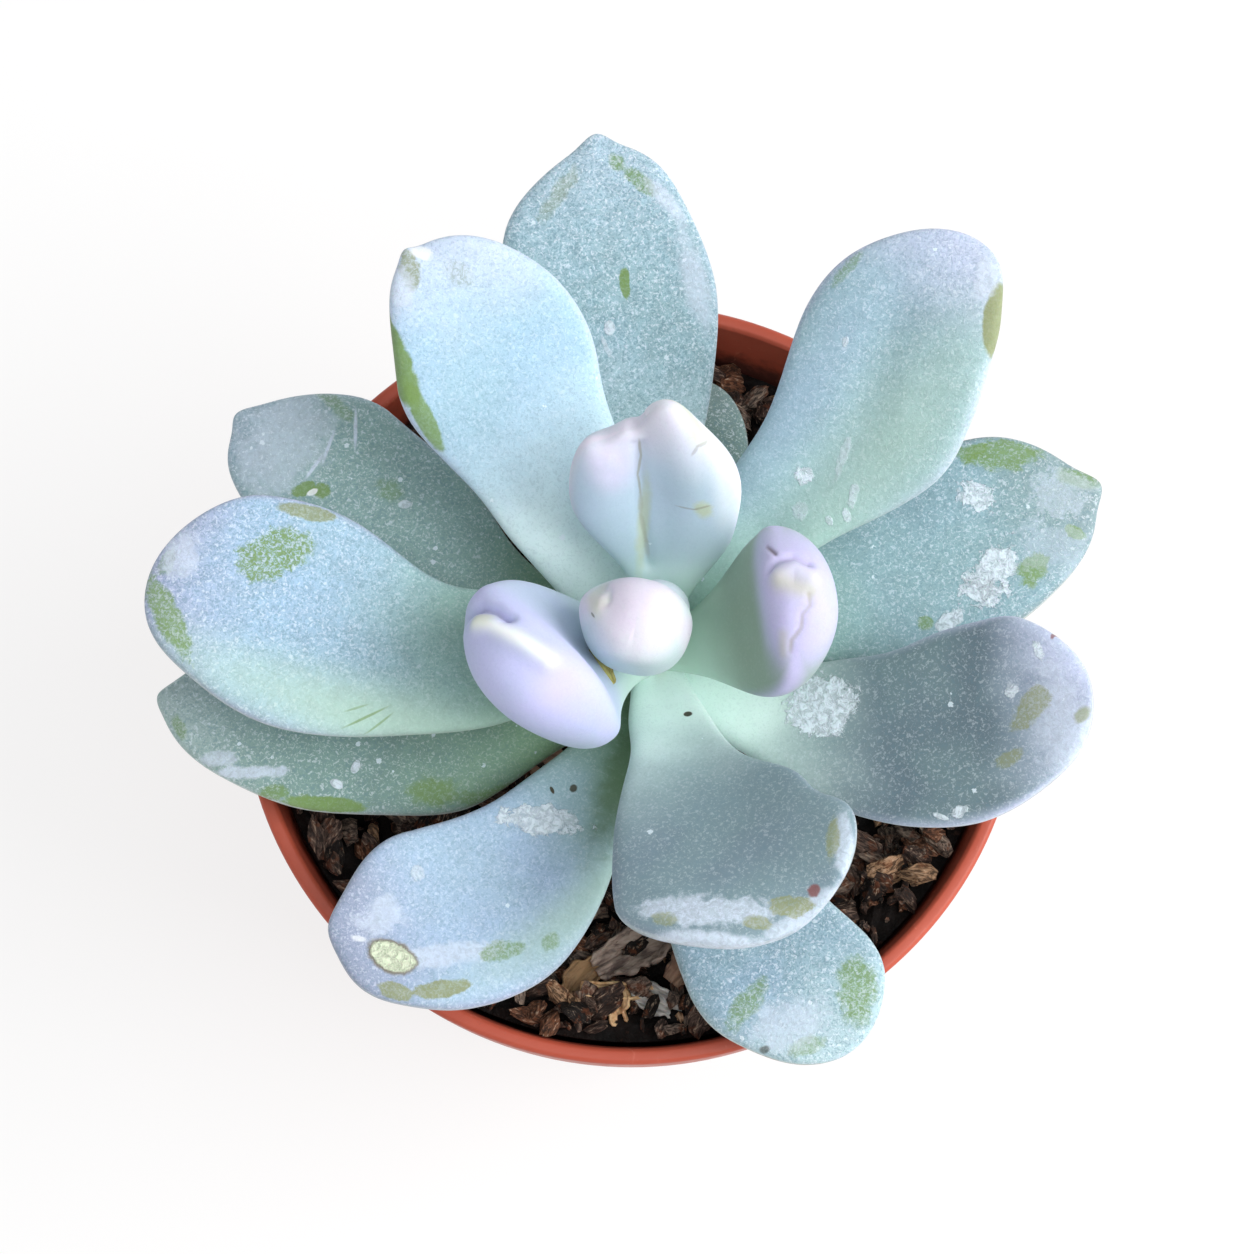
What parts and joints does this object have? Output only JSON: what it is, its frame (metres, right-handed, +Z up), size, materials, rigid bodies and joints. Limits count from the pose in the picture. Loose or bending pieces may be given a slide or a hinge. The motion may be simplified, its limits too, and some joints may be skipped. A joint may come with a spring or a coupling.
{
  "type": "potted moonstones plant",
  "caption": "Moonstones succulent (Pachyphytum) with thick, pale blue spoon-shaped leaves in a rosette, growing in bark soil in a round terracotta-coloured nursery pot.",
  "frame": {"origin": "centre of the pot's flat underside", "axes": "+Z up along the pot's axis, +X to the viewer's right, and -Y towards the side that the plant is seen from"},
  "size_m": [0.1048, 0.1043, 0.1053],
  "materials": {
    "pot_plastic": "moulded terracotta-coloured plastic, satin, smooth",
    "bark_soil": "dark potting soil with chips of composted bark, rough and dry",
    "stem_skin": "green-grey skin with leaf scars, matte",
    "leaf": "blue-green skin under a powdery white bloom, rubbed off in green patches, matte",
    "young_leaf": "smooth lavender and pink-white skin under a thick powdery bloom, matte",
    "withered_leaf": "dry brown papery skin, creased"
  },
  "bodies": {
    "root": {"pot": "pot_plastic", "soil": "bark_soil", "stem": "stem_skin", "leaf_crown": "young_leaf", "leaf_crown_back": "young_leaf", "leaf_inner_back": "young_leaf", "leaf_inner_right": "young_leaf", "leaf_inner_left": "young_leaf", "leaf_front": "leaf", "leaf_left": "leaf", "leaf_back_right": "leaf", "leaf_back_left": "leaf", "leaf_right": "leaf", "leaf_front_left": "leaf", "leaf_back": "leaf", "leaf_low_right": "leaf", "leaf_low_back_left": "leaf", "leaf_low_left": "leaf", "leaf_low_front": "leaf", "leaf_low_back": "leaf", "withered_leaf_front": "withered_leaf", "withered_leaf_front_small": "withered_leaf", "withered_leaf_left": "withered_leaf"}
  },
  "joints": []
}
